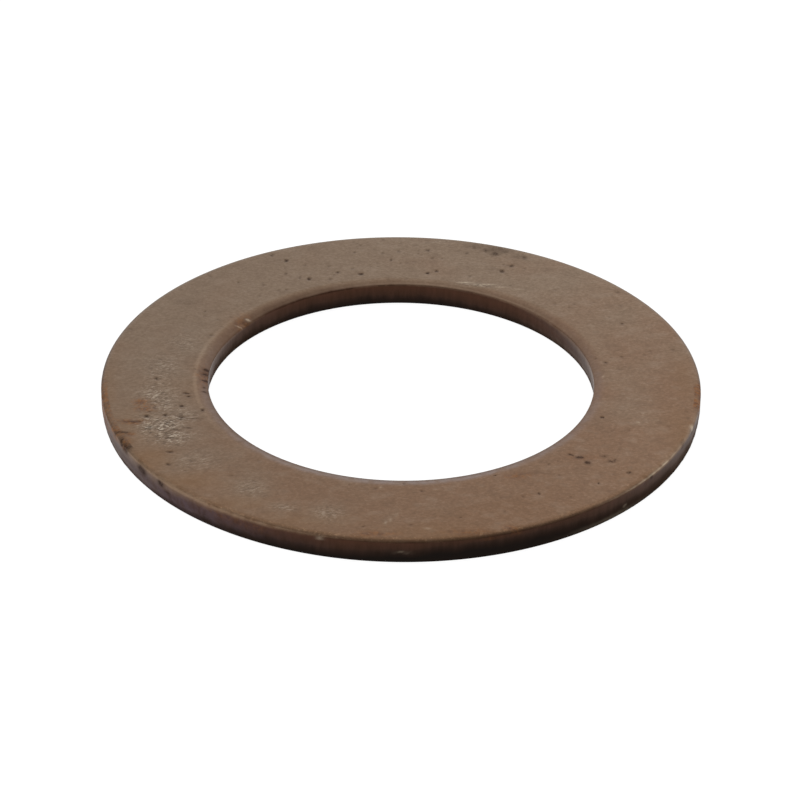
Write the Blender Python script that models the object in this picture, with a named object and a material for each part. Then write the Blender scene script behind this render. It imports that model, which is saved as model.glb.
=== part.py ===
"""A flat washer of hardened carbon steel, blanked and pierced from strip, lying burr side down.

Punch and die leave the same zones on the outer edge and in the bore. From the top face down
they are the roll-over, the burnished land, the tapered fracture zone and a worn burr corner.
The half section draws each zone once, and it is turned a full circle about the bore's axis.

Lengths are in metres and +Z is up. The origin is on the bore's axis, in the bottom face.
"""

import math

import bpy

MM = 0.001

# Driving dimensions: the bore clears a 25.4 mm shaft, and the ring is 39.7 mm across outside
BORE_DIAMETER = 25.6 * MM
RING_WIDTH = 7.05 * MM
THICKNESS = 1.65 * MM

# Outer edge: the rim of the top face was drawn down in blanking and is worn rounder since
OUTER_ROLL_WIDTH = 0.45 * MM
OUTER_ROLL_DEPTH = 0.22 * MM
OUTER_LAND_BOTTOM = 1.05 * MM

# Bore: the piercing punch drew its rim down over a wider band, but less deep
BORE_ROLL_WIDTH = 0.80 * MM
BORE_ROLL_DEPTH = 0.10 * MM
BORE_LAND_BOTTOM = 1.10 * MM

# Below the land the steel tore across the gap between punch and die
DIE_CLEARANCE = 0.08 * MM
BURR_CORNER_RADIUS = 0.06 * MM

# Fineness of the turned solid
SEGMENTS = 144
OUTER_ROLL_STEPS = 6
BORE_ROLL_STEPS = 6
CORNER_STEPS = 3

# Brown temper oxide over ground strip
STEEL_COLOUR = "#7f6857"
STEEL_ROUGHNESS = 0.48
STEEL_METALLIC = 1.0

WELD_DISTANCE = 0.00001
SHARP_ANGLE = math.radians(35)


def clear_scene():
    for old in list(bpy.data.objects):
        bpy.data.objects.remove(old, do_unlink=True)


def linear_colour(hex_code):
    """The linear colour of an sRGB hex code, with an alpha of 1."""
    channels = []
    for start in (1, 3, 5):
        value = int(hex_code[start:start + 2], 16) / 255
        low = value / 12.92
        high = ((value + 0.055) / 1.055) ** 2.4
        channels.append(low if value <= 0.04045 else high)
    return (*channels, 1.0)


def arc(centre, across, upright, first, last, steps):
    """Points (x, z) on an ellipse between two angles in degrees, both ends included."""
    points = []
    for step in range(steps + 1):
        angle = math.radians(first + (last - first) * step / steps)
        x = centre[0] + across * math.cos(angle)
        z = centre[1] + upright * math.sin(angle)
        points.append((x, z))
    return points


def worn_corner(land_height):
    """The lean of a fracture zone this high, in degrees, and how far its corner's centre is set in.

    The corner is a fillet between the leaning fracture zone and the bottom face, so it meets
    both without a kink. Its centre is set in from the land's radius.
    """
    lean = math.atan2(DIE_CLEARANCE, land_height)
    set_in = DIE_CLEARANCE + BURR_CORNER_RADIUS * (1 / math.cos(lean) - math.tan(lean))
    return math.degrees(lean), set_in


def outer_edge(radius):
    """The outer edge from the top face down to the bottom face."""
    roll_centre = (radius - OUTER_ROLL_WIDTH, THICKNESS - OUTER_ROLL_DEPTH)
    roll = arc(roll_centre, OUTER_ROLL_WIDTH, OUTER_ROLL_DEPTH, 90, 0, OUTER_ROLL_STEPS)
    land_height = THICKNESS - OUTER_LAND_BOTTOM
    lean, set_in = worn_corner(land_height)
    corner_centre = (radius - set_in, BURR_CORNER_RADIUS)
    corner = arc(corner_centre, BURR_CORNER_RADIUS, BURR_CORNER_RADIUS, -lean, -90, CORNER_STEPS)
    return [*roll, (radius, land_height), *corner]


def bore_edge(radius):
    """The bore's wall from the bottom face up to the top face."""
    land_height = THICKNESS - BORE_LAND_BOTTOM
    lean, set_in = worn_corner(land_height)
    corner_centre = (radius + set_in, BURR_CORNER_RADIUS)
    corner = arc(corner_centre, BURR_CORNER_RADIUS, BURR_CORNER_RADIUS, 270, 180 + lean, CORNER_STEPS)
    roll_centre = (radius + BORE_ROLL_WIDTH, THICKNESS - BORE_ROLL_DEPTH)
    roll = arc(roll_centre, BORE_ROLL_WIDTH, BORE_ROLL_DEPTH, 180, 90, BORE_ROLL_STEPS)
    return [*corner, (radius, land_height), *roll]


def half_section():
    """The closed outline of the ring's section at +X, down its outer side and back up the bore."""
    bore_radius = BORE_DIAMETER / 2
    return outer_edge(bore_radius + RING_WIDTH) + bore_edge(bore_radius)


def section_mesh(name, outline):
    """A mesh of one closed loop of edges, standing in the XZ plane."""
    mesh = bpy.data.meshes.new(name)
    points = [(x, 0, z) for x, z in outline]
    edges = [(index, (index + 1) % len(points)) for index in range(len(points))]
    mesh.from_pydata(points, edges, [])
    return mesh


def turn_about_z(piece):
    """Turns the section a full circle about the bore's axis and welds the seam."""
    turn = piece.modifiers.new("turn", "SCREW")
    turn.axis = "Z"
    turn.angle = math.tau
    turn.steps = SEGMENTS
    turn.render_steps = SEGMENTS
    turn.use_merge_vertices = True
    turn.merge_threshold = WELD_DISTANCE
    turn.use_smooth_shade = True


def crease_land_ends(mesh):
    """Keeps a crisp line where each land breaks into its fracture zone."""
    breaks = (THICKNESS - OUTER_LAND_BOTTOM, THICKNESS - BORE_LAND_BOTTOM)
    for edge in mesh.edges:
        heights = [mesh.vertices[index].co.z for index in edge.vertices]
        for level in breaks:
            if all(abs(height - level) < WELD_DISTANCE for height in heights):
                edge.use_edge_sharp = True


def shade_smooth_with_creases(piece):
    """Applies the turn, then shades the faces smooth with creases at the true edges."""
    graph = bpy.context.evaluated_depsgraph_get()
    turned = bpy.data.meshes.new_from_object(piece.evaluated_get(graph))
    piece.modifiers.clear()
    piece.data = turned
    turned.shade_smooth()
    turned.set_sharp_from_angle(angle=SHARP_ANGLE)
    crease_land_ends(turned)


def tempered_steel():
    """Carbon steel with the brown oxide that tempering leaves."""
    steel = bpy.data.materials.new("tempered_carbon_steel")
    steel.use_nodes = True
    shader = steel.node_tree.nodes["Principled BSDF"]
    shader.inputs["Base Color"].default_value = linear_colour(STEEL_COLOUR)
    shader.inputs["Roughness"].default_value = STEEL_ROUGHNESS
    shader.inputs["Metallic"].default_value = STEEL_METALLIC
    return steel


def washer():
    piece = bpy.data.objects.new("washer", section_mesh("washer", half_section()))
    bpy.context.collection.objects.link(piece)
    turn_about_z(piece)
    shade_smooth_with_creases(piece)
    piece.data.materials.append(tempered_steel())
    return piece


clear_scene()
washer()
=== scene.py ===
# %% [markdown]
# # A worn steel washer
# This is the look of one flat washer, blanked and pierced from steel strip, hardened and tempered
# until it turned brown, and since then used and left about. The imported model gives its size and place.
# The lesson models the ring as a turned section, wears it, finishes its steel, and then lights it
# as a product picture on a white floor.

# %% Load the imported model
import math
import random

import bmesh
import bpy
import numpy as np
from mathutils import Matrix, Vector, noise


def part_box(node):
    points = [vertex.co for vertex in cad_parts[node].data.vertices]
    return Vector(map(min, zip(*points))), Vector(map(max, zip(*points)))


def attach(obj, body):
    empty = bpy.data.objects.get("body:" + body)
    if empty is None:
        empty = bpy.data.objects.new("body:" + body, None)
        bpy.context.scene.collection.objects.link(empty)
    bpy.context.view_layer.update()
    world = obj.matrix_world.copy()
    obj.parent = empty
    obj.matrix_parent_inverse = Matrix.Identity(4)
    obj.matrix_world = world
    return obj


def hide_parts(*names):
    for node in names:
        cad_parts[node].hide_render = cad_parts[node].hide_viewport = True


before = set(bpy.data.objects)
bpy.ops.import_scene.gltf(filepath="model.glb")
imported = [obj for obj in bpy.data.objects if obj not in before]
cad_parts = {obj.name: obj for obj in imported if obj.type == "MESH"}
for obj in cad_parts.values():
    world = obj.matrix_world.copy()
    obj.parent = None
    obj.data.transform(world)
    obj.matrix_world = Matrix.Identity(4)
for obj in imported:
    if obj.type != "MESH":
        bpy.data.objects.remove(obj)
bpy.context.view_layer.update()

MM = 0.001
print("Packed nodes:", sorted(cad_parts))

# %% [markdown]
# ## Sizes
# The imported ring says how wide, thick and open the washer is. Those sizes could be typed in again,
# but measured ones can't drift away from the model. The edge sizes repeat those of its construction:
# punch and die roll the upper rim down, shear a smooth land below it, and tear the rest, which leans
# away by the gap between punch and die.

# %% Measure the ring
low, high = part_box("washer")
THICKNESS = high.z - low.z
OUTER_RADIUS = (high.x - low.x) / 2
ring_points = np.array([vertex.co[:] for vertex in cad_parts["washer"].data.vertices])
BORE_RADIUS = float(np.hypot(ring_points[:, 0], ring_points[:, 1]).min())
print(f"Radius {OUTER_RADIUS / MM:.2f} mm, bore {BORE_RADIUS / MM:.2f} mm, thick {THICKNESS / MM:.3f} mm")

# %% Edge sizes
OUTER_EDGE = {"radius": OUTER_RADIUS, "inward": -1, "roll_width": 0.45 * MM, "roll_depth": 0.22 * MM,
              "land_bottom": THICKNESS - 1.05 * MM}
BORE_EDGE = {"radius": BORE_RADIUS, "inward": 1, "roll_width": 0.80 * MM, "roll_depth": 0.10 * MM,
             "land_bottom": THICKNESS - 1.10 * MM}
DIE_CLEARANCE = 0.08 * MM
BURR_CORNER = 0.06 * MM
print("Land and torn zone meet", round(OUTER_EDGE["land_bottom"] / MM, 2), "mm above the floor outside and",
      round(BORE_EDGE["land_bottom"] / MM, 2), "mm in the bore")

# %% [markdown]
# ## The section
# A washer could be a disc with a hole cut by a boolean, but that leaves uneven faces and rims that
# are hard to shape. A ring is a turned shape, so only its section is modelled. It starts as a plane
# standing at the ring's place, and its face is deleted at once, because a face inside the section
# would be swept into a wall inside the steel. What is left is a loop of four edges.

# %% Helpers for edit mode
SAME_PLACE = 0.0002 * MM


def select_points(piece, wanted):
    """Selects the points whose place passes the test, with the edges between them."""
    mesh = bmesh.from_edit_mesh(piece.data)
    for element in (*mesh.verts, *mesh.edges, *mesh.faces):
        element.select = False
    for vertex in mesh.verts:
        vertex.select = wanted(vertex.co)
    mesh.select_flush_mode()
    bmesh.update_edit_mesh(piece.data)


def near(value, target):
    return abs(value - target) < SAME_PLACE


def section_size():
    return len(bmesh.from_edit_mesh(washer.data).verts)


# %% Stand the section up
bpy.ops.object.select_all(action="DESELECT")
middle = ((OUTER_RADIUS + BORE_RADIUS) / 2, 0, THICKNESS / 2)
bpy.ops.mesh.primitive_plane_add(size=1, location=middle, rotation=(math.pi / 2, 0, 0))
washer = bpy.context.object
washer.name = "worn_washer"
washer.data.name = "worn_washer"
washer.scale = (OUTER_RADIUS - BORE_RADIUS, THICKNESS, 1)
bpy.ops.object.transform_apply(location=True, rotation=True, scale=True)
bpy.ops.object.mode_set(mode="EDIT")
bpy.ops.mesh.select_mode(type="VERT")
bpy.ops.mesh.delete(type="ONLY_FACE")
print("Section:", section_size(), "corners")

# %% [markdown]
# ## The sheared edges
# The press leaves a rolled rim, a straight land and a torn foot on each wall. A bevel on the finished
# ring would round all four rims alike, so each zone is shaped here, with its own size. The wall's
# edge is cut in two where the land ends. The foot is pulled back by the die clearance and its corner
# is bevelled round. The top corner is bevelled by the depth of the roll-over, and the small arc is
# then stretched sideways about the wall, into the long shallow curve that the metal was dragged into.

# %% Shape both walls
CORNER_STEPS = 4
OUTER_ROLL_STEPS = 12
BORE_ROLL_STEPS = 16
JUST_PAST = 1.01


def shape_wall(edge, roll_steps):
    """Shapes one wall of the section from its foot to its rolled rim."""
    radius = edge["radius"]
    depth = edge["roll_depth"]
    select_points(washer, lambda co: near(co.x, radius))
    bpy.ops.mesh.subdivide(number_cuts=1)
    select_points(washer, lambda co: near(co.x, radius) and near(co.z, THICKNESS / 2))
    bpy.ops.transform.translate(value=(0, 0, edge["land_bottom"] - THICKNESS / 2))
    select_points(washer, lambda co: near(co.x, radius) and near(co.z, 0))
    bpy.ops.transform.translate(value=(edge["inward"] * DIE_CLEARANCE, 0, 0))
    bpy.ops.mesh.bevel(affect="VERTICES", offset=BURR_CORNER, segments=CORNER_STEPS)
    select_points(washer, lambda co: near(co.x, radius) and near(co.z, THICKNESS))
    bpy.ops.mesh.bevel(affect="VERTICES", offset=depth, segments=roll_steps)
    reach = depth * JUST_PAST
    select_points(washer, lambda co: abs(co.x - radius) < reach and co.z > THICKNESS - reach)
    bpy.ops.transform.resize(value=(edge["roll_width"] / depth, 1, 1), center_override=(radius, 0, 0))


shape_wall(OUTER_EDGE, OUTER_ROLL_STEPS)
shape_wall(BORE_EDGE, BORE_ROLL_STEPS)
print("Section with both walls shaped:", section_size(), "points")

# %% [markdown]
# ## Enough points to hold the wear
# The real pits and dents are a few tenths of a millimetre wide and break the outline of the rims. A
# bump in the material can't do that, so they have to be real dents in the mesh. The long edges of
# the section are subdivided to about the same length as the steps round the ring. The underside
# lies on the floor and is left coarser.

# %% Subdivide the long edges
TOP_CUTS = 46
LAND_CUTS = 6
TORN_CUTS = 4
UNDER_CUTS = 9
SLACK = 0.0005 * MM
ABOVE_CORNER = BURR_CORNER * 0.9


def cut_between(wanted, cuts):
    """Cuts every edge between two selected points into this many pieces and one more."""
    select_points(washer, wanted)
    bpy.ops.mesh.subdivide(number_cuts=cuts)


def wall_span(edge, bottom, top):
    """A test for points of one wall between two heights."""
    reach = DIE_CLEARANCE * 1.2
    return lambda co: abs(co.x - edge["radius"]) < reach and bottom - SLACK < co.z < top + SLACK


cut_between(lambda co: near(co.z, THICKNESS), TOP_CUTS)
cut_between(lambda co: near(co.z, 0), UNDER_CUTS)
for edge in (OUTER_EDGE, BORE_EDGE):
    cut_between(wall_span(edge, edge["land_bottom"], THICKNESS - edge["roll_depth"]), LAND_CUTS)
    cut_between(wall_span(edge, ABOVE_CORNER, edge["land_bottom"]), TORN_CUTS)
print("Section with points for the wear:", section_size())

# %% [markdown]
# ## Turn the ring
# A Screw modifier would turn the section as well, and Spin does it in edit mode, where the loop
# already is. It sweeps the loop once round the bore's axis. Its last step lands on its first, so the
# doubles are merged before the normals are recalculated, and the ring closes with no seam.

# %% Spin the section
TURN_STEPS = 780
WELD_DISTANCE = 0.001 * MM
bpy.ops.mesh.select_all(action="SELECT")
bpy.ops.mesh.spin(steps=TURN_STEPS, angle=math.tau, center=(0, 0, 0), axis=(0, 0, 1))
bpy.ops.mesh.select_all(action="SELECT")
bpy.ops.mesh.remove_doubles(threshold=WELD_DISTANCE)
bpy.ops.mesh.normals_make_consistent(inside=False)
bpy.ops.object.mode_set(mode="OBJECT")
print("Turned ring:", len(washer.data.polygons), "faces")

# %% [markdown]
# ## The drawn bore rim
# Strip gives more along its grain than across it, so the punch dragged the bore's rim down further
# on the left and the right. Proportional editing could pull those parts down by hand. A depth worked
# out from each point's bearing does it evenly and can be read back. The roll becomes a flatter and
# deeper curve there, and the land below it is squeezed into what is left of its height.

# %% Bearings round the ring
count = len(washer.data.vertices)
points = np.empty(count * 3)
washer.data.vertices.foreach_get("co", points)
points = points.reshape(-1, 3)
bearing = np.degrees(np.arctan2(points[:, 1], points[:, 0]))
radius_mm = np.hypot(points[:, 0], points[:, 1]) / MM


def toward(degrees, half_width):
    """1 at this bearing, fading to nothing on either side of it over about this many degrees."""
    gap = (bearing - degrees + 180) % 360 - 180
    return np.exp(-(gap / half_width) ** 2)


print(count, "points round the ring")

# %% Draw the rim down
FURTHER_LEFT = 0.28
FURTHER_RIGHT = 0.16
CHAMFER_SHARE = 0.8
CHAMFER_BEND = 1.4
depth_mm = (THICKNESS - points[:, 2]) / MM
roll_width = BORE_EDGE["roll_width"] / MM
roll_depth = BORE_EDGE["roll_depth"] / MM
land_depth = (THICKNESS - BORE_EDGE["land_bottom"]) / MM
drawn_depth = roll_depth + FURTHER_LEFT * toward(150, 38) + FURTHER_RIGHT * toward(20, 42)
from_bore = np.clip((radius_mm - BORE_RADIUS / MM) / roll_width, 0, 1)
chamfer = CHAMFER_SHARE * (1 - from_bore) ** CHAMFER_BEND
curve = chamfer + (1 - CHAMFER_SHARE) * np.clip(depth_mm / roll_depth, 0, 1)
squeeze = (land_depth - drawn_depth) / (land_depth - roll_depth)
lowered = np.where(depth_mm <= roll_depth, curve * drawn_depth,
                   drawn_depth + (depth_mm - roll_depth) * squeeze)
on_bore_rim = (radius_mm < BORE_RADIUS / MM + roll_width) & (depth_mm < land_depth)
points[:, 2] = np.where(on_bore_rim, THICKNESS - lowered * MM, points[:, 2])
washer.data.vertices.foreach_set("co", points.ravel())
washer.data.update()
print(f"Bore rim drawn down {drawn_depth.min():.2f} to {drawn_depth.max():.2f} mm")

# %% [markdown]
# ## Places of the wear
# The washer is worn in patches, and where they lie says how it was used. They could be painted into
# an image, but that has one fixed fineness, so they are kept as short lists of places, put there one
# by one from the photograph. A place is in millimetres on the upper face, with x to the right and y
# away from the camera. Each mark is an ellipse: its centre, its half lengths along x and y, and how
# strong it is. A strength above 1 gives a mark that is full across a wider middle.

# %% Galled patches, where the oxide is rubbed through to pale scratched steel
GALLED = [
    (-15.6, -6.6, 1.6, 1.3, 1.0), (-14.8, -8.0, 1.6, 1.3, 0.85), (-15.9, -3.2, 1.5, 2.6, 0.7),
    (-15.9, 0.6, 1.6, 2.4, 0.5), (-14.6, 4.2, 1.5, 1.9, 0.4), (-14.3, -5.3, 1.2, 1.4, 0.65),
    (-12.9, -10.8, 1.9, 1.7, 0.4), (-9.3, -14.0, 1.2, 1.2, 0.5), (-7.2, -16.2, 1.0, 0.5, 0.5),
    (-4.4, -16.8, 1.1, 1.2, 0.5), (-0.6, -17.3, 0.5, 0.9, 0.2), (14.9, -3.6, 1.8, 2.2, 0.14),
    (5.2, 12.7, 1.6, 0.3, 0.6), (2.3, 18.9, 1.7, 0.1, 0.5),
]
print(len(GALLED), "galled patches")

# %% Rust: speckled spots, and wide zones where it has only tinted the oxide
RUSTY = [
    (-17.0, -3.7, 0.5, 0.5, 0.9), (-16.7, -4.5, 0.7, 0.5, 0.8), (-17.4, -6.1, 0.9, 0.2, 1.0),
    (-18.1, -7.6, 0.3, 0.3, 0.7), (-17.4, -7.7, 0.3, 0.2, 0.9), (-17.6, -8.7, 0.3, 0.5, 0.9),
    (-1.6, -19.1, 1.3, 0.3, 0.7), (4.3, -18.8, 1.3, 0.3, 0.6), (6.8, -18.3, 0.5, 0.25, 0.7),
    (-13.2, -0.2, 0.5, 1.3, 0.6), (19.7, -1.3, 0.22, 0.7, 2.0), (19.6, -3.0, 0.22, 0.6, 2.0),
    (11.6, -10.0, 1.0, 0.4, 0.4), (7.6, -12.3, 1.1, 0.35, 0.5), (-10.9, 7.3, 0.5, 0.8, 0.5),
]
TINTED = [
    (-17.2, -7.2, 1.8, 3.0, 0.6), (-15.9, -10.6, 1.5, 1.6, 1.2), (-13.4, -13.2, 2.0, 1.2, 1.1),
    (-10.2, -15.8, 2.2, 0.8, 0.7), (-6.0, -17.7, 3.5, 1.0, 0.6), (-15.3, -1.5, 2.0, 1.2, 0.4),
    (18.2, -6.6, 1.2, 3.4, 0.7), (18.8, 0.0, 0.9, 3.0, 0.6), (-19.2, -2.0, 0.5, 4.0, 0.5),
    (14.8, -12.0, 1.5, 1.2, 0.3), (-11.6, 5.8, 0.7, 2.2, 0.3), (1.0, -18.8, 4.0, 0.9, 0.5),
]
print(len(RUSTY), "rust spots in", len(TINTED), "tinted zones")

# %% Dark stains and dirt
STAINED = [
    (6.8, 17.9, 1.0, 0.6, 0.5), (5.4, 18.2, 1.0, 0.5, 0.3), (8.1, 16.8, 0.5, 0.4, 0.3),
    (6.6, 17.3, 0.25, 0.30, 0.9), (6.1, 17.8, 0.20, 0.25, 0.7), (5.2, 18.0, 0.20, 0.20, 0.7),
    (4.6, 17.2, 0.14, 0.20, 0.6), (7.2, 17.6, 0.30, 0.25, 0.7), (8.6, 16.6, 0.20, 0.25, 0.6),
    (-14.9, 9.7, 0.7, 0.5, 0.15), (-18.0, -7.5, 0.5, 0.12, 1.3), (-17.9, -8.5, 0.2, 0.6, 1.1),
    (-13.05, 0.85, 0.24, 0.2, 1.5), (-13.1, 0.3, 0.3, 0.25, 1.0),
    (10.85, -9.7, 0.18, 0.10, 1.4), (11.4, -9.95, 0.28, 0.15, 1.8), (11.8, -10.7, 0.14, 0.2, 1.4),
    (13.0, -9.7, 0.2, 0.1, 0.8), (13.5, -10.3, 0.25, 0.1, 1.1), (-13.1, -0.6, 0.28, 0.12, 1.5),
    (-12.95, -1.6, 0.16, 0.10, 1.2), (-12.9, -2.2, 0.20, 0.10, 1.1),
    (-17.3, -6.1, 0.6, 0.08, 0.9), (8.4, -12.0, 1.1, 0.3, 0.15), (18.1, -8.0, 0.2, 0.35, 0.5),
    (-14.9, -8.2, 0.40, 0.08, 0.9), (-14.6, -7.2, 0.35, 0.08, 0.8), (-13.8, -6.8, 0.35, 0.08, 0.8),
    (-16.1, -6.8, 0.20, 0.09, 0.9), (-15.3, -6.4, 0.12, 0.20, 0.7), (-14.2, -5.8, 0.30, 0.08, 0.9),
    (-13.4, -5.6, 0.50, 0.08, 0.6), (-16.3, -4.9, 0.12, 0.12, 0.8), (-15.0, -6.0, 0.25, 0.08, 0.7),
]
print(len(STAINED), "stains")

# %% Pits: centre, half lengths and depth as a share of the deepest
PITS = [
    (-16.2, -0.6, 0.10, 0.12, 0.7), (-14.1, -2.5, 0.20, 0.07, 0.9), (-13.9, -2.9, 0.12, 0.08, 0.7),
    (-14.3, -4.1, 0.12, 0.11, 1), (-15.3, -5.3, 0.12, 0.11, 0.8), (-16.5, -5.4, 0.16, 0.11, 0.9),
    (-16.2, -6.7, 0.16, 0.11, 0.8), (-14.2, -5.5, 0.17, 0.09, 0.9), (-16.9, -6.1, 0.11, 0.11, 0.7),
    (-14.7, -9.8, 0.20, 0.08, 0.8), (-14.7, -11.3, 0.12, 0.12, 0.6), (-13.3, -10.8, 0.09, 0.08, 0.4),
    (-12.9, -4.6, 0.09, 0.16, 0.8), (-9.2, 16.7, 0.10, 0.16, 0.5), (-8.2, 15.9, 0.12, 0.17, 0.8),
    (-8.1, 14, 0.09, 0.16, 0.4), (-6.5, 13.3, 0.12, 0.17, 1), (-4.5, 14.3, 0.12, 0.12, 0.7),
    (-2.9, 14.1, 0.14, 0.14, 0.9), (-1.4, 17.2, 0.08, 0.11, 0.4), (-0.2, 17.4, 0.08, 0.11, 0.4),
    (-0.8, 16.2, 0.08, 0.16, 0.5), (1.8, 17.7, 0.10, 0.16, 0.6), (2.1, 16.5, 0.08, 0.12, 0.5),
    (1.8, 14.3, 0.13, 0.12, 0.8), (2.4, 14.6, 0.10, 0.14, 0.9), (4.7, 13.9, 0.08, 0.12, 0.4),
    (7, 14.7, 0.13, 0.20, 1), (7.7, 15.5, 0.12, 0.16, 0.7), (8.6, 16.8, 0.09, 0.16, 0.7),
    (15, 11.8, 0.08, 0.12, 0.4), (15.05, 7.4, 0.08, 0.12, 0.7), (13.7, 2.1, 0.12, 0.11, 0.5),
    (14.8, 2.9, 0.09, 0.09, 0.4), (13.1, -5, 0.12, 0.09, 0.8), (10.8, -9.6, 0.08, 0.07, 0.7),
    (14.5, -11.7, 0.13, 0.09, 0.9), (12.5, -13, 0.09, 0.07, 0.5), (8.7, -14.3, 0.09, 0.08, 0.8),
    (6, -12.2, 0.09, 0.07, 0.6), (13.7, -10.2, 0.09, 0.08, 0.7),
]
print(len(PITS), "pits placed by hand")

# %% Bright chips and flecks, and the nicks that dent the rims
CHIPS = [
    (-10.5, 7.7, 0.16, 0.08, 0.9), (-11.1, 6.8, 0.22, 0.05, 0.6), (18.95, -5.9, 0.14, 0.2, 0.8),
    (13.4, 0.3, 0.09, 0.09, 0.4), (15.4, -5.6, 0.1, 0.08, 0.6), (16.0, -5.6, 0.07, 0.07, 0.3),
    (-1.2, -13.8, 0.1, 0.12, 0.3), (2.2, -13.9, 0.15, 0.08, 0.25), (-5.0, -19.3, 0.25, 0.10, 0.35),
    (-0.9, -17.8, 0.06, 0.2, 0.5), (-0.6, -17.4, 0.06, 0.25, 0.5), (-0.2, -16.9, 0.06, 0.2, 0.4),
    (1.7, -18.4, 0.2, 0.1, 0.3), (4.4, 12.98, 0.4, 0.06, 0.8), (5.9, 12.75, 0.5, 0.05, 0.8),
    (6.9, 12.35, 0.3, 0.05, 0.6), (8.1, 12.1, 0.4, 0.05, 0.4), (14.6, -2.0, 0.08, 0.07, 0.3),
    (14.9, -2.5, 0.08, 0.07, 0.35), (16.4, -2.8, 0.12, 0.06, 0.25), (15.8, -4.4, 0.1, 0.08, 0.3),
    (16.6, -5.3, 0.14, 0.06, 0.3),
]
NICKS = [
    (-17.6, -9.0, 0.3, 0.3, 0.5), (15.5, -12.3, 0.22, 0.22, 0.4),
    (-10.6, 7.3, 0.3, 0.2, 0.7), (18.95, -5.9, 0.3, 0.35, 0.6), (-19.6, -3.2, 0.2, 0.35, 0.5),
    (3.4, -19.5, 0.5, 0.2, 0.4), (-5.0, -19.2, 0.35, 0.2, 0.3),
]
print(len(CHIPS), "chips and flecks,", len(NICKS), "nicks")

# %% [markdown]
# The outer wall has marks of its own, which a place on the face can't reach. Their places are a
# bearing in degrees, counted from the right hand side towards the back, and a depth below the upper
# face in millimetres. The scrapes are pale, and the last of them is no more than dust along the foot.

# %% Marks on the outer wall: bearing, depth, half bearing, half depth and strength
WALL_STAINS = [
    (207.3, 0.22, 1.4, 0.25, 1.4), (214.2, 0.52, 1.2, 0.25, 2.0), (220.3, 0.45, 0.8, 0.20, 1.8),
    (222.5, 0.80, 1.0, 0.12, 0.9), (323.2, 0.25, 0.4, 0.12, 1.6),
]
WALL_RUST = [
    (355.4, 0.40, 1.8, 0.60, 2.0), (351.0, 0.30, 1.8, 0.50, 2.0), (201.5, 0.20, 3.5, 0.30, 0.9),
    (190.0, 0.50, 7.0, 0.60, 1.4), (240.0, 0.50, 6.0, 0.25, 0.2),
]
WALL_SCRAPES = [
    (270.5, 0.85, 1.3, 0.05, 0.25), (315.5, 1.10, 0.4, 0.08, 0.35), (312.0, 1.45, 8.0, 0.15, 0.12),
]
print(len(WALL_STAINS) + len(WALL_RUST) + len(WALL_SCRAPES), "marks on the outer wall")

# %% [markdown]
# ## Read the mesh as arrays
# Wear touches about ninety thousand points at once. A Python loop over them for every mark would be
# slow, so their places are read into arrays. A slow noise bends the ellipses a little, because no
# real stain has a clean outline.

# %% Places, normals and zones
TOP_ZONE = 0.45
normals = np.empty(count * 3)
washer.data.vertices.foreach_get("normal", normals)
normals = normals.reshape(-1, 3)
across_mm, away_mm, height_mm = (points / MM).T
depth_mm = THICKNESS / MM - height_mm
outside = radius_mm > (OUTER_RADIUS + BORE_RADIUS) / 2 / MM
wall = 1 - np.abs(normals[:, 2])
on_top = np.clip((TOP_ZONE - depth_mm) / 0.1, 0, 1)
print(f"{count} points, {float((wall > 0.5).mean()) * 100:.0f}% of them on the walls")


# %% Noise on every point
SLOW_BEND = 0.30
QUICK_BEND = 0.08


def noise_at(columns, size_mm, seed):
    """Smooth noise from -1 to 1 with bumps of about this size, one value for each point."""
    shift = Vector((seed * 17.3, seed * 5.1, seed * 9.7))
    return np.array([noise.noise(Vector(row) / size_mm + shift) for row in columns])


place = np.stack([across_mm, away_mm, height_mm], axis=1)
slow_warp = noise_at(place, 1.4, 1)
quick_warp = noise_at(place, 0.4, 2)
warped_x = across_mm + SLOW_BEND * slow_warp + QUICK_BEND * quick_warp
warped_y = away_mm + SLOW_BEND * noise_at(place, 1.4, 3) + QUICK_BEND * noise_at(place, 0.4, 4)
print(f"Outlines of the marks bend by up to {np.abs(warped_x - across_mm).max():.2f} mm")


# %% Turn marks into one value for each point
SLIGHT_BEND = 0.05
BEARING_BEND = 0.5
WALL_BAND = 0.4


def spread(marks, warp=True):
    """The strongest mark at each point, fading out from each ellipse's middle."""
    x = warped_x if warp else across_mm + SLIGHT_BEND * quick_warp
    y = warped_y if warp else away_mm + SLIGHT_BEND * slow_warp
    value = np.zeros(count)
    for mark_x, mark_y, half_x, half_y, strength in marks:
        gap = ((x - mark_x) / half_x) ** 2 + ((y - mark_y) / half_y) ** 2
        value = np.maximum(value, strength * np.exp(-gap))
    return value * on_top


def spread_on_wall(marks):
    """The same for marks on the outer wall."""
    depth = depth_mm + QUICK_BEND * quick_warp
    value = np.zeros(count)
    for degrees, mark_depth, half_degrees, half_depth, strength in marks:
        across = toward(degrees + BEARING_BEND * slow_warp, half_degrees)
        value = np.maximum(value, strength * across * np.exp(-((depth - mark_depth) / half_depth) ** 2))
    return value * (radius_mm > OUTER_RADIUS / MM - WALL_BAND)
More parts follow.
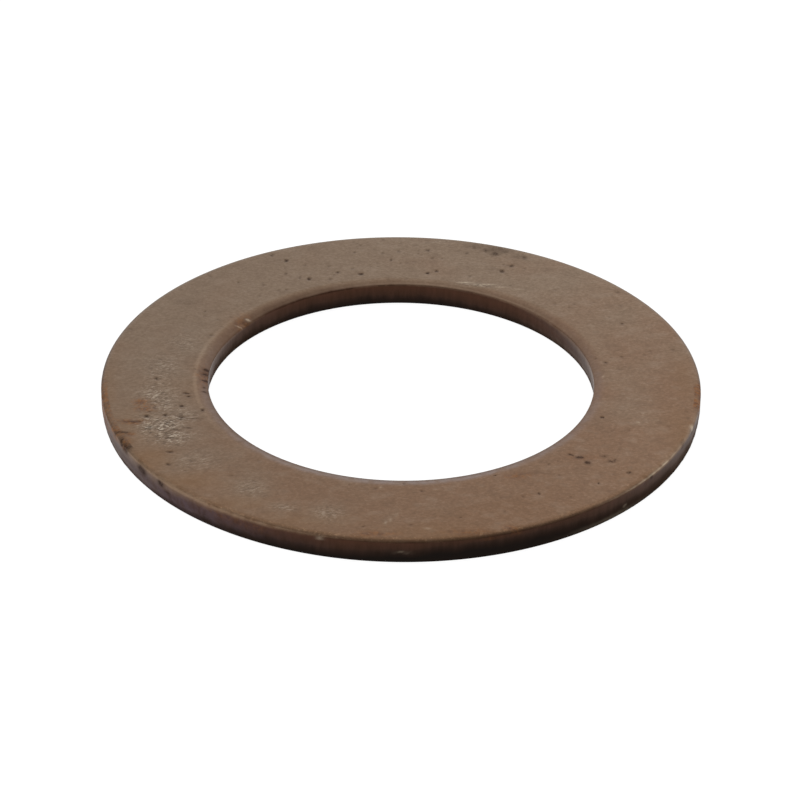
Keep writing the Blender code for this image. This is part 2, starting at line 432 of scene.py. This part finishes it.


# %% [markdown]
# ## Wear the shape
# The faces are a little wavy from the press. Pits sink, nicks push the rims in, the land carries
# fine draw marks that run with the punch, and the torn zone is rough. Its upper border wanders,
# because the crack starts at a slightly different depth all the way round. All this could be
# sculpted. Here each kind is a depth in millimetres, and the points move by it along their normals,
# so every depth can be read and changed.

# %% Scattered small pits besides those listed
SCATTERED_PITS = 150
RIM_MARGIN = 0.4
EDGE_MARGIN = 0.3
LEAST_BUSY = 0.25
random.seed(41)
scattered = []
while len(scattered) < SCATTERED_PITS:
    angle = random.uniform(0, math.tau)
    distance = random.uniform(BORE_RADIUS / MM + RIM_MARGIN, OUTER_RADIUS / MM - EDGE_MARGIN)
    width = random.uniform(0.05, 0.11)
    centre = (distance * math.cos(angle), distance * math.sin(angle))
    busy = LEAST_BUSY + (1 - LEAST_BUSY) * max(0.0, math.sin(angle)) ** 2
    if random.random() < busy:
        scattered.append((*centre, width, width * 1.2, random.uniform(0.15, 0.5)))
print(len(scattered), "small pits scattered, more of them on the far side")

# %% Depths in millimetres, and where each zone lies
PIT_DEPTH = 0.07
NICK_DEPTH = 0.10
WAVE = 0.010
DRAW_MARK = 0.006
TEAR = 0.022
CRACK_WANDER = 0.07
CRACK_BAND = 0.16
FADE = 0.05
hand_pits = spread(PITS, warp=False)
small_pits = spread(scattered, warp=False)
nicks = spread(NICKS)
torn_top = np.where(outside, OUTER_EDGE["land_bottom"], BORE_EDGE["land_bottom"]) / MM
above_corner = np.clip(height_mm / (BURR_CORNER / MM), 0, 1)
torn = wall * np.clip((torn_top - height_mm) / FADE, 0, 1) * above_corner
land = wall * np.clip((height_mm - torn_top) / FADE, 0, 1)
print(f"Pits touch {float((np.maximum(hand_pits, small_pits) > 0.2).mean()) * 100:.1f}% of the points")

# %% Noise that changes only round the ring, and the tear's own
NOISE_CIRCLE = 19
around = np.radians(bearing)
on_circle = np.stack([NOISE_CIRCLE * np.cos(around), NOISE_CIRCLE * np.sin(around), 0 * around], axis=1)
draw_marks = noise_at(on_circle, 0.16, 5) + 0.6 * noise_at(on_circle, 0.7, 6)
wander = noise_at(on_circle, 1.6, 7) + 0.5 * noise_at(on_circle, 0.5, 8)
tear = noise_at(place, 0.35, 9) + 0.6 * noise_at(place, 0.16, 10)
print(f"The crack wanders by up to {np.abs(CRACK_WANDER * wander).max():.2f} mm")

# %% Move the points, where the underside only sinks, so the washer still lies flat
UNDERSIDE_TOP = 0.02
UNDERSIDE_SHARE = 0.3
sink = PIT_DEPTH * np.maximum(hand_pits, small_pits) + NICK_DEPTH * nicks
lift = WAVE * noise_at(place, 6.0, 11) * (1 - wall) - sink
lift += DRAW_MARK * draw_marks * land + TEAR * tear * torn
lift = np.where(height_mm < UNDERSIDE_TOP, -np.abs(lift) * UNDERSIDE_SHARE, lift)
moved = points + normals * (lift * MM)[:, None]
border = wall * np.exp(-((height_mm - torn_top) / CRACK_BAND) ** 2)
moved[:, 2] += border * wander * CRACK_WANDER * MM
moved[:, 2] = np.clip(moved[:, 2], 0, THICKNESS)
shrink = np.minimum(1, OUTER_RADIUS / np.hypot(moved[:, 0], moved[:, 1]))
moved[:, :2] *= shrink[:, None]
washer.data.vertices.foreach_set("co", moved.ravel())
washer.data.update()
print(f"Deepest pit {sink.max():.3f} mm, roughest tear {np.abs(TEAR * tear * torn).max():.3f} mm")

# %% [markdown]
# ## Paint the wear, and light and shade
# The finish has to know where the marks are, and wear seldom mixes: a spot is rusty or galled or
# stained. One painted colour on each point would blur them together. So each kind of wear, and each
# patch of painted light and shade, is stored as its own value on every point, from 0 to 1, and the
# material reads it by name.

# %% Store one value for each point and kind of wear
def store(name, values):
    attribute = washer.data.attributes.new(name, "FLOAT", "POINT")
    attribute.data.foreach_set("value", np.clip(values, 0, 1).astype(np.float32))
    print(f"{name}: {float((values > 0.2).mean()) * 100:.1f}% of the points")


store("galled", spread(GALLED))
store("rusty", np.maximum(spread(RUSTY), spread_on_wall(WALL_RUST)))
store("tinted", spread(TINTED))
pitted = np.maximum(1.8 * hand_pits, 1.2 * small_pits)
store("stained", np.maximum(np.maximum(spread(STAINED), spread_on_wall(WALL_STAINS)), pitted))

# %% Chips, and a crisp painted highlight line along the front right rim
# A painted highlight: a crisp pale line along the front right rim, stored with the chips.
rim_highlight_line = outside * np.exp(-((depth_mm - 0.13) / 0.035) ** 2) * toward(325, 10)
bright = np.maximum(spread(CHIPS, warp=False), spread_on_wall(WALL_SCRAPES))
store("chips_and_highlight", np.maximum(bright, rim_highlight_line * (0.5 + 0.5 * quick_warp)))

# %% [markdown]
# The tone of the oxide drifts over the whole washer, as it does where one side cooled or was handled
# more than the other. It is redder towards the front and the right, with a slow noise on top. The
# left side of the face is painted darker as shade, and the outer wall towards the front left gets a
# painted greyish sheen, a painted reflection of the light from that side.

# %% Store the slow drift of tone, the painted shade on the left and the painted sheen on the wall
store("warm", 0.5 - away_mm / 28 + across_mm / 70 + 0.5 * noise_at(place, 3.0, 12))
# Painted shade: the face is darker towards the left.
store("shaded", 0.55 - across_mm / 32)
# A painted reflection: a greyish sheen on the outer wall towards the front left.
store("left_wall_sheen", outside * toward(224, 18))

# %% [markdown]
# The brown of the face reaches some way over the rims and down the walls. On the outer wall it
# reaches further on the left and the right, as painted light where the side lamps catch the rim, and
# elsewhere it ends soon below the edge, so that the rim in front is painted into shade. In the bore
# it reaches further where the rim was drawn down. Below it the walls darken evenly towards the
# floor, partly as painted shade, and they are painted lighter on the outer wall's left and the
# bore's right and darker on the outer wall's front right, as painted light and shade. A gradient
# down the object's height would draw a ruled line all the way round, so its depth changes with the
# bearing.

# %% Store how far down the walls each finish lies
BARE_RIM = 0.03
# Painted light: on the outer wall the face's brown reaches further down on the left and right.
face_reach_outside = 0.16 + 0.70 * toward(214, 22) + 0.15 * toward(338, 18)
face_reach_bore = 0.14 + 0.60 * toward(10, 35) + 0.45 * toward(160, 30)
face_reach = np.where(outside, face_reach_outside, face_reach_bore) * (1 + 0.25 * wander)
store("sheared", (depth_mm - BARE_RIM) / face_reach)
# Painted light and shade by bearing: the outer wall lighter on the left and darker at the front right, the
# bore's wall lighter on the right.
painted_light_and_shade = np.where(outside, 0.26 * toward(209, 22) - 0.32 * toward(290, 25) - 0.11 * toward(341, 18),
                   0.25 * toward(25, 35))
store("low", depth_mm / (THICKNESS / MM) + 0.08 * wander - painted_light_and_shade)

# %% [markdown]
# The front of the outer rim is darkened as painted shade and carries pale specks. The front of the
# bore's rim is greyed as a painted reflection. The ridge, the far lip of the bore and two stretches
# of the outer rim carry pale painted highlights, partly standing for worn steel. Each is a narrow
# band at one distance from the bore's wall or at one depth.

# %% Store the bands along the rims
OUTER_BAND = 0.22
BORE_BAND = 0.30
from_wall = radius_mm - BORE_RADIUS / MM
rim_gap = np.where(outside, radius_mm - OUTER_RADIUS / MM + OUTER_BAND, from_wall - BORE_BAND)
near_rim = np.exp(-(rim_gap / np.where(outside, OUTER_BAND, BORE_BAND)) ** 2) * on_top
# Painted shade: the front of the outer rim is darker.
store("outer_rim", near_rim * outside * toward(265, 60))
# A painted reflection: the front of the bore's rim is greyed.
store("bore_rim", near_rim * ~outside * toward(268, 75) * (0.8 + 0.8 * quick_warp))
# Painted highlights: pale lines on the bore's ridge, on its far lip and on two stretches of the outer rim.
ridge = 0.65 * np.exp(-((from_wall - 0.86) / 0.13) ** 2) * toward(178, 32)
lip = 2.0 * np.exp(-((from_wall - 0.12) / 0.08) ** 2) * on_top * toward(92, 45)
rim_highlight = np.exp(-((depth_mm - 0.15) / 0.09) ** 2) * (toward(228, 26) + toward(333, 16))
store("rubbed_and_highlight", np.maximum(np.maximum(ridge, lip), outside * rim_highlight * (1.6 + 2.4 * quick_warp)))
drawn = np.clip((0.85 - from_wall) / 0.4, 0, 1)
store("drawn", drawn * (1 - toward(270, 75)) * (1 - 0.6 * toward(90, 45)))

# %% [markdown]
# ## Tools for the finish
# The material could be clicked together in the editor, but its values are easier to compare in a list.
# Colours are written as they look on a screen, as sRGB hex values, and turned to linear. A pattern's
# size is written in millimetres, and the scale that a texture needs is one over that size in metres.

# %% Colour, scale and node helpers
def linear(hex_code):
    """The linear colour of an sRGB hex code, with an alpha of 1."""
    channels = [int(hex_code[start:start + 2], 16) / 255 for start in (1, 3, 5)]
    light = [c / 12.92 if c <= 0.04045 else ((c + 0.055) / 1.055) ** 2.4 for c in channels]
    return (*light, 1.0)


def per_metre(size_mm):
    """The scale of a texture whose grains are to be this long."""
    return 1 / (size_mm * MM)


def add_node(tree, kind, links=None, inputs=None, **settings):
    """Adds a node, sets its options and inputs, and links other nodes' outputs into it."""
    node = tree.nodes.new(kind)
    for name, value in settings.items():
        setattr(node, name, value)
    for key, value in (inputs or {}).items():
        node.inputs[key].default_value = value
    for key, output in (links or {}).items():
        tree.links.new(output, node.inputs[key])
    return node


# %% [markdown]
# ## Tempered carbon steel
# The real finish is a thin brown oxide that grew on ground strip as it was tempered. A brown paint
# under a clear coat would have white highlights. The oxide is so thin that the steel's own metallic
# sheen comes through brown, so the material is metallic, and satin rather than bright. Its tone
# drifts slowly from grey brown to red brown, with a fine mottle from the grinding.

# %% Start the material and its places
steel = bpy.data.materials.new("brown_tempered_carbon_steel")
steel.use_nodes = True
tree = steel.node_tree
tree.nodes.clear()
spot = add_node(tree, "ShaderNodeTexCoord").outputs["Object"]
worn = {name: add_node(tree, "ShaderNodeAttribute", attribute_name=name).outputs["Fac"]
        for name in ("warm", "shaded", "galled", "rusty", "tinted", "stained", "chips_and_highlight", "sheared",
                     "low", "outer_rim", "bore_rim", "rubbed_and_highlight", "drawn", "left_wall_sheen")}
print("The finish reads", len(worn), "kinds of wear")


# %% Small builders of this finish
def grain(size_mm, detail, roughness, stretch=(1, 1, 1), turn=0.0, distortion=0.0):
    """Noise with grains of a real size, drawn out along axes that may be turned about Z."""
    mapped = add_node(tree, "ShaderNodeMapping", {"Vector": spot},
                      {"Scale": stretch, "Rotation": (0, 0, turn)}, vector_type="TEXTURE")
    return add_node(tree, "ShaderNodeTexNoise", {"Vector": mapped.outputs[0]},
                    {"Scale": per_metre(size_mm), "Detail": detail, "Roughness": roughness,
                     "Distortion": distortion}).outputs["Fac"]


def remap(value, low_in, high_in, low_out=0.0, high_out=1.0):
    """Stretches one range of a value to another, and holds it there at both ends."""
    return add_node(tree, "ShaderNodeMapRange", {"Value": value},
                    {"From Min": low_in, "From Max": high_in, "To Min": low_out, "To Max": high_out}
                    ).outputs["Result"]


def combine(first, second, operation="MULTIPLY"):
    """One clamped step of arithmetic with a node's output and a second one or a number."""
    links = {0: first}
    inputs = {}
    if isinstance(second, (int, float)):
        inputs[1] = second
    else:
        links[1] = second
    return add_node(tree, "ShaderNodeMath", links, inputs, operation=operation, use_clamp=True).outputs[0]


def blend_colour(share, under, over):
    """Lays one colour over another by a share. A colour is a hex code or a node's output."""
    node = add_node(tree, "ShaderNodeMix", data_type="RGBA")
    for socket, value in ((node.inputs[6], under), (node.inputs[7], over)):
        if isinstance(value, str):
            socket.default_value = linear(value)
        else:
            tree.links.new(value, socket)
    tree.links.new(share, node.inputs[0])
    return node.outputs[2]


def blend_value(share, under, over):
    """The same for two values, each a number or a node's output."""
    node = add_node(tree, "ShaderNodeMix", data_type="FLOAT")
    for socket, value in ((node.inputs[2], under), (node.inputs[3], over)):
        if isinstance(value, (int, float)):
            socket.default_value = value
        else:
            tree.links.new(value, socket)
    tree.links.new(share, node.inputs[0])
    return node.outputs[0]


# %% The brown of the faces: drift, mottle, clouds and painted shade on the left
face = blend_colour(worn["warm"], "#86715d", "#82644d")
mottle = grain(0.16, 4, 0.7, stretch=(1.4, 1, 1))
face = blend_colour(remap(mottle, 0.44, 0.64, 0.0, 0.32), face, "#5f4c3c")
face = blend_colour(remap(mottle, 0.44, 0.30, 0.0, 0.22), face, "#a08f7e")
clouds = grain(0.9, 2, 0.55, stretch=(1.5, 1, 1))
face = blend_colour(remap(clouds, 0.52, 0.70, 0.0, 0.20), face, "#9a8877")
face = blend_colour(remap(clouds, 0.46, 0.30, 0.0, 0.22), face, "#66503f")
# Painted shade: the left side of the face is darkened.
face = blend_colour(combine(worn["shaded"], 0.30), face, "#5d4a3a")
print("Brown oxide:", len(tree.nodes), "nodes")

# %% Tinted zones, the drawn rim, painted highlights, painted shade and reflection on the rims, specks
face = blend_colour(combine(worn["tinted"], 0.48), face, "#785838")
face = blend_colour(combine(worn["drawn"], 0.35), face, "#6b4a3a")
# Painted highlights along the rims, partly worn steel.
face = blend_colour(combine(worn["rubbed_and_highlight"], 0.40), face, "#b09880")
# Painted shade on the front of the outer rim; the pale specks after it are marks.
face = blend_colour(combine(worn["outer_rim"], 0.25), face, "#6a513e")
specks = combine(worn["outer_rim"], remap(grain(0.22, 4, 0.75), 0.54, 0.66))
face = blend_colour(combine(specks, 0.55), face, "#b08f70")
# A painted reflection: the front of the bore's rim is greyed.
face = blend_colour(combine(worn["bore_rim"], 0.6), face, "#8f8380")
print("With the rims:", len(tree.nodes), "nodes")

# %% [markdown]
# Where something harder has galled the washer, the oxide is broken by short scratches that all run
# nearly the same way. They are finer than the mesh, so they can't be cut into it. They come from a
# noise that is drawn out along the scratches, cut to thin threads, and kept to the galled patches.

# %% Galled scratches
SCRATCH_TURN = math.radians(20)
threads = grain(0.12, 3, 0.65, stretch=(2.4, 1, 1), turn=SCRATCH_TURN, distortion=0.5)
pale_threads = remap(threads, 0.52, 0.60)
dark_threads = remap(threads, 0.47, 0.40)
rubbed_and_highlight = combine(worn["galled"], remap(grain(0.6, 3, 0.7), 0.34, 0.56))
face = blend_colour(combine(worn["galled"], 0.55), face, "#807161")
core = remap(worn["galled"], 0.2, 0.9, 0.35, 1.0)
face = blend_colour(combine(combine(rubbed_and_highlight, pale_threads), core), face, "#c0b3a1")
face = blend_colour(combine(combine(worn["galled"], dark_threads), 0.9), face, "#44362c")
print("With the scratches:", len(tree.nodes), "nodes")

# %% [markdown]
# The sheared walls were never rubbed, so they keep a darker scale. The land is smooth and dark
# brown with draw marks, and the torn zone below it is rough and nearly black. Towards the floor the
# walls darken further, partly in that scale and partly as painted shade. A material of its own
# for each zone would end at a hard line. On the real washer one tone runs into the next, because
# scale and grime cover the border, so the tones are blended by depth. Towards the front left a
# greyish purple sheen is painted on the wall, a painted reflection of the light from the left.

# %% The sheared walls
streaks = remap(grain(0.35, 4, 0.65, stretch=(1, 1, 5)), 0.36, 0.64)
upper_brown = blend_colour(streaks, "#422c21", "#483025")
middle_brown = blend_colour(streaks, "#30221b", "#392922")
# Down the walls the brown darkens by depth and by the painted light and shade of each bearing.
walls = blend_colour(remap(worn["low"], 0.22, 0.62), upper_brown, middle_brown)
# Painted reflection: a greyish purple sheen on the outer wall towards the front left.
left_wall_sheen = combine(worn["left_wall_sheen"], remap(grain(0.6, 3, 0.6), 0.36, 0.60, 0.15, 0.50))
walls = blend_colour(left_wall_sheen, walls, "#5a4d56")
# Towards the foot the walls go nearly black: the torn zone's own scale, partly painted shade near the
# floor.
walls = blend_colour(remap(worn["low"], 0.55, 0.95), walls, "#1d1917")
skin = blend_colour(worn["sheared"], face, walls)
print("With the walls:", len(tree.nodes), "nodes")

# %% [markdown]
# Rust, dirt and bright chips come last, because they lie on face and wall alike. With the chips
# comes a crisp painted highlight along the front right rim. The rust is orange where it is fresh
# and thin and red brown where it is old and thick, and both show as specks. Flat patches would look
# painted on, so a fine noise breaks each mark up. Rust is no longer metal and is dull, so it takes
# away from the metallic share and adds to the roughness.

# %% Rust, stains, bright chips and the painted rim highlight
rust_share = combine(worn["rusty"], remap(grain(0.2, 4, 0.75), 0.36, 0.58, 0.1, 1.0))
rust_tone = blend_colour(remap(grain(0.35, 3, 0.7), 0.42, 0.60), "#9c6227", "#5e3420")
skin = blend_colour(combine(rust_share, 0.8), skin, rust_tone)
stain_share = combine(worn["stained"], remap(grain(0.14, 3, 0.7), 0.3, 0.6, 0.5, 1.0))
skin = blend_colour(combine(stain_share, 0.9), skin, "#2f1a10")
# Bright chips and scrapes, with the painted highlight line along the front right rim.
skin = blend_colour(combine(worn["chips_and_highlight"], 0.8), skin, "#c9b9a2")
print("With the marks:", len(tree.nodes), "nodes")

# %% Roughness, metal share, edge tint and relief
RELIEF_DEPTH = 0.02 * MM
marked = combine(stain_share, rust_share, "MAXIMUM")
rough = blend_value(combine(rubbed_and_highlight, 0.7), remap(mottle, 0.3, 0.7, 0.40, 0.50), 0.36)
rough = blend_value(worn["sheared"], rough, 0.45)
rough = blend_value(remap(worn["low"], 0.55, 0.75), rough, 0.62)
rough = blend_value(marked, rough, 0.70)
metal = remap(rust_share, 0.0, 1.0, 1.0, 0.6)
# Painted shade: the edge tint darkens down the walls, so that they mirror less of the floor near the foot.
glancing = blend_colour(remap(worn["low"], 0.15, 0.85), "#ffffff", "#dccac0")
relief = combine(combine(threads, worn["galled"]), combine(mottle, 0.5), "ADD")
bump = add_node(tree, "ShaderNodeBump", {"Height": relief}, {"Strength": 0.5, "Distance": RELIEF_DEPTH})
print("Relief", RELIEF_DEPTH / MM, "mm deep")

# %% Join the finish and shade the ring smooth
CREASE_ANGLE = math.radians(50)
shader = add_node(tree, "ShaderNodeBsdfPrincipled",
                  {"Base Color": skin, "Roughness": rough, "Metallic": metal, "Normal": bump.outputs[0],
                   "Specular Tint": glancing})
add_node(tree, "ShaderNodeOutputMaterial", {"Surface": shader.outputs[0]})
washer.data.materials.append(steel)
bpy.ops.object.select_all(action="DESELECT")
washer.select_set(True)
bpy.context.view_layer.objects.active = washer
bpy.ops.object.shade_smooth_by_angle(angle=CREASE_ANGLE)
print("Finish:", len(tree.nodes), "nodes")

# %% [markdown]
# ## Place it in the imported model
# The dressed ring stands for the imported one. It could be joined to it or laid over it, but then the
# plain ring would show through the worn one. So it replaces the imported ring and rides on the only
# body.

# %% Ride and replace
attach(washer, "root")
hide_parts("washer")
print(washer.name, "has", len(washer.data.vertices), "points")

# %% [markdown]
# ## Floor and light
# The picture has a clean white ground. More light would make the floor white too, but it would bleach
# the washer. So the floor itself is lifted to white, only where the camera sees it straight or by
# way of metal, and the rest of its brightness comes from the lamps, so the washer's shadow stays.

# %% Floor and its paper
FLOOR_SIZE = 4.0
FLOOR_GAP = 0.02 * MM
FLOOR_LIFT = 0.93
bpy.ops.object.select_all(action="DESELECT")
bpy.ops.mesh.primitive_plane_add(size=FLOOR_SIZE, location=(0, 0, -FLOOR_GAP))
floor = bpy.context.object
floor.name = "studio_floor"
paper = bpy.data.materials.new("white_paper_floor")
paper.use_nodes = True
sheet = paper.node_tree
sheet.nodes.clear()
print("Floor", FLOOR_SIZE, "m wide,", FLOOR_GAP / MM, "mm below the washer")


# %% White for the camera and in mirrors, plain paper for the light
def seen_or_mirrored(node_tree):
    """1 for rays that the camera sends, also by way of metal or glass, and 0 for light."""
    path = add_node(node_tree, "ShaderNodeLightPath")
    both = add_node(node_tree, "ShaderNodeMath", {0: path.outputs["Is Camera Ray"],
                    1: path.outputs["Is Glossy Ray"]}, operation="MAXIMUM")
    every = add_node(node_tree, "ShaderNodeMath", {0: both.outputs[0],
                     1: path.outputs["Is Transmission Ray"]}, operation="MAXIMUM")
    return every.outputs[0]


matt = add_node(sheet, "ShaderNodeBsdfDiffuse", inputs={"Color": linear("#e8e8e8")})
shown = add_node(sheet, "ShaderNodeBsdfDiffuse", inputs={"Color": linear("#808080")})
glow = add_node(sheet, "ShaderNodeEmission", inputs={"Strength": FLOOR_LIFT})
lifted = add_node(sheet, "ShaderNodeAddShader", {0: shown.outputs[0], 1: glow.outputs[0]})
floor_mix = add_node(sheet, "ShaderNodeMixShader",
                     {0: seen_or_mirrored(sheet), 1: matt.outputs[0], 2: lifted.outputs[0]})
add_node(sheet, "ShaderNodeOutputMaterial", {"Surface": floor_mix.outputs[0]})
floor.data.materials.append(paper)
print("Floor lifted by", FLOOR_LIFT)

# %% [markdown]
# Metal shows its shape only by what it mirrors. An evenly lit room would leave the face and the walls
# the same tone, so the room is dim and three soft boxes stand in it. The wide one behind the washer
# is what the flat face mirrors. Those at the sides light the ends of the rolled rims. The room stays
# dark above the camera, so that the rims fall off into shade in front.

# %% Dim room
ROOM_STRENGTH = 0.4
room = bpy.data.worlds.new("dim_room")
room.use_nodes = True
backdrop = room.node_tree.nodes["Background"]
backdrop.inputs["Color"].default_value = linear("#ffffff")
backdrop.inputs["Strength"].default_value = ROOM_STRENGTH
bpy.context.scene.world = room
print("Room at", ROOM_STRENGTH, "of white")


# %% Soft boxes
BOX_DISTANCE = 0.40


def soft_box(name, side, elevation, width, height, brightness):
    """A lamp facing the washer, as bright as written. Degrees for angles, metres for lengths."""
    lamp = bpy.data.lights.new(name, "AREA")
    lamp.shape = "RECTANGLE"
    lamp.size = width
    lamp.size_y = height
    lamp.energy = brightness * math.pi * width * height
    box = bpy.data.objects.new(name, lamp)
    flat = math.cos(math.radians(elevation)) * BOX_DISTANCE
    box.location = (flat * math.cos(math.radians(side)), flat * math.sin(math.radians(side)),
                    BOX_DISTANCE * math.sin(math.radians(elevation)))
    box.rotation_euler = (-box.location).to_track_quat("-Z", "Y").to_euler()
    bpy.context.scene.collection.objects.link(box)
    print(f"{name}: {width} by {height} m, {lamp.energy:.3f} W")


soft_box("back_box", side=84, elevation=40, width=0.70, height=0.58, brightness=0.71)
soft_box("left_box", side=202, elevation=32, width=0.42, height=0.42, brightness=0.85)
soft_box("right_box", side=16, elevation=18, width=0.28, height=0.24, brightness=0.9)

# %% [markdown]
# ## Camera
# The camera looks down on the washer at about thirty degrees from the front, from eleven radii away.
# It could be moved by hand until the picture looks right. Its place comes from fitting the two rims
# to the photograph instead, because their ellipses tell height, distance and roll.

# %% Camera
ELEVATION = math.radians(30.47)
DISTANCE = 219.1 * MM
ROLL = math.radians(0.58)
LENS = 148.6
SENSOR_WIDTH = 36.0
SHIFT_ACROSS = -0.0014
SHIFT_UP = -0.0297
lens = bpy.data.cameras.new("product_camera")
lens.lens = LENS
lens.sensor_width = SENSOR_WIDTH
lens.shift_x = SHIFT_ACROSS
lens.shift_y = SHIFT_UP
lens.clip_start = 0.01
lens.clip_end = 20.0
camera = bpy.data.objects.new("product_camera", lens)
backward = Vector((0, -math.cos(ELEVATION), math.sin(ELEVATION)))
camera.location = Vector((0, 0, THICKNESS)) + backward * DISTANCE
camera.rotation_euler = (math.pi / 2 - ELEVATION, 0, 0)
camera.rotation_euler.rotate_axis("Z", ROLL)
bpy.context.scene.collection.objects.link(camera)
bpy.context.scene.camera = camera
bpy.context.scene.view_settings.view_transform = "Standard"
print(f"Camera {DISTANCE / OUTER_RADIUS:.1f} radii away, {math.degrees(ELEVATION):.1f} degrees up")
